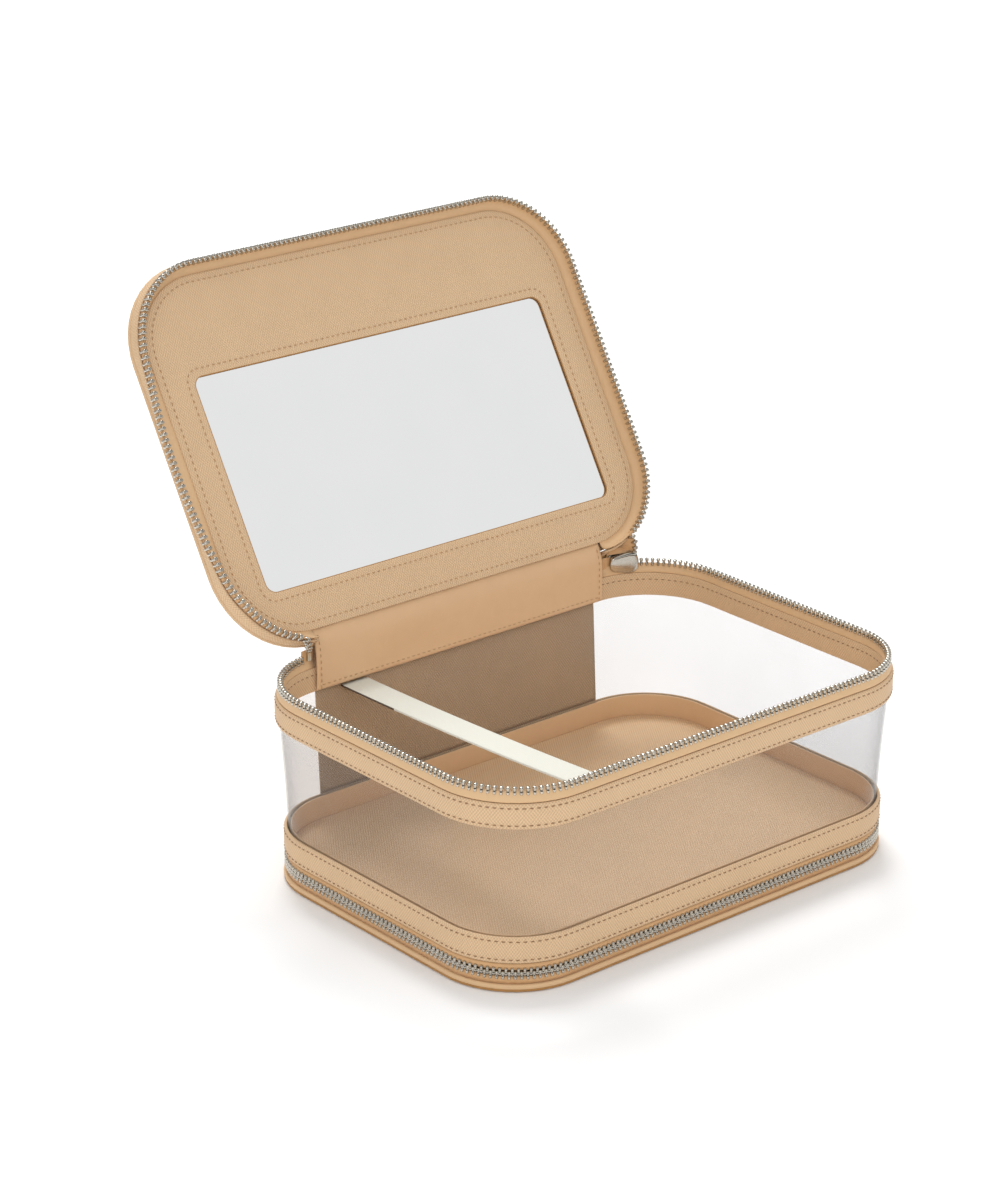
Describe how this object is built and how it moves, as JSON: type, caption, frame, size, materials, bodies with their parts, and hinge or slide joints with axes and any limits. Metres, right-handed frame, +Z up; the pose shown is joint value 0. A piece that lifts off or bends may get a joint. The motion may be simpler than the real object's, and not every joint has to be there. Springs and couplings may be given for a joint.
{
  "type": "makeup train case",
  "caption": "Clear-walled zip makeup case with leatherette bands, a hinged mirror lid, a retaining strap and a shallow zipped bottom compartment.",
  "frame": {"origin": "centre of the base's underside, with the case standing on it and the lid open", "axes": "+Z up, +X to the right along the long side seen from the front, +Y to the hinge at the back"},
  "size_m": [0.248, 0.2668, 0.252],
  "materials": {
    "leatherette": "tan cross-hatched leatherette, satin",
    "edge_paint": "brown painted edge, satin",
    "zipper_tape": "woven tan zipper tape",
    "lining": "tan twill lining, slight sheen",
    "zipper_metal": "polished nickel",
    "stiffener": "plain stiffener board",
    "clear_vinyl": "clear flexible vinyl, glossy",
    "mirror": "mirror",
    "strap": "cream strap, satin"
  },
  "bodies": {
    "base": {"base_panel": "leatherette", "base_edge_binding": "edge_paint", "base_board": "stiffener", "base_lining": "lining", "base_zip_tape": "zipper_tape", "base_zip_teeth": "zipper_metal", "base_hinge_strip": "leatherette", "lower_stop_base": "zipper_metal"},
    "case": {"compartment_lining": "lining", "floor_board": "stiffener", "floor_panel": "leatherette", "lower_zip_teeth": "zipper_metal", "lower_zip_tape": "zipper_tape", "lower_hinge_strip": "leatherette", "lower_band": "leatherette", "clear_wall": "clear_vinyl", "lower_band_lining": "lining", "back_panel": "leatherette", "upper_band": "leatherette", "rim_zip_teeth": "zipper_metal", "rim_zip_tape": "zipper_tape", "upper_band_lining": "leatherette", "hinge_gusset": "leatherette", "hinge_lining": "lining", "retaining_strap": "strap", "rim_stop": "zipper_metal", "lower_stop_case": "zipper_metal", "rim_slider": "zipper_metal"},
    "lid": {"lid_zip_teeth": "zipper_metal", "lid_zip_tape": "zipper_tape", "lid_side_band": "leatherette", "lid_side_lining": "lining", "lid_inner_panel": "leatherette", "mirror": "mirror", "lid_board": "stiffener", "lid_top_panel": "leatherette", "lid_piping": "leatherette"},
    "rim_pull_tab": {"rim_pull": "zipper_metal"},
    "lower_slider_unit": {"lower_slider": "zipper_metal"},
    "lower_pull_tab": {"lower_pull": "zipper_metal"}
  },
  "joints": [
    {"name": "bottom_hinge", "type": "hinge", "parent": "base", "child": "case", "pos_m": [0, 0.0855, 0.008], "axis": [-1, 0, 0], "range_deg": [0, 88]},
    {"name": "lid_hinge", "type": "hinge", "parent": "case", "child": "lid", "pos_m": [0, 0.0848, 0.1008], "axis": [1, 0, 0], "range_deg": [-58, 121.6]},
    {"name": "rim_pull_hinge", "type": "hinge", "parent": "case", "child": "rim_pull_tab", "pos_m": [0.09645, 0.08696, 0.091], "axis": [0, 0, -1], "range_deg": [0, 175]},
    {"name": "lower_slider_travel", "type": "slide", "parent": "case", "child": "lower_slider_unit", "axis": [0, -1, 0], "range_m": [0, 0.07]},
    {"name": "lower_pull_hinge", "type": "hinge", "parent": "lower_slider_unit", "child": "lower_pull_tab", "pos_m": [0.12225, 0.0284, 0.008], "axis": [0, 0, 1], "range_deg": [0, 175]}
  ]
}
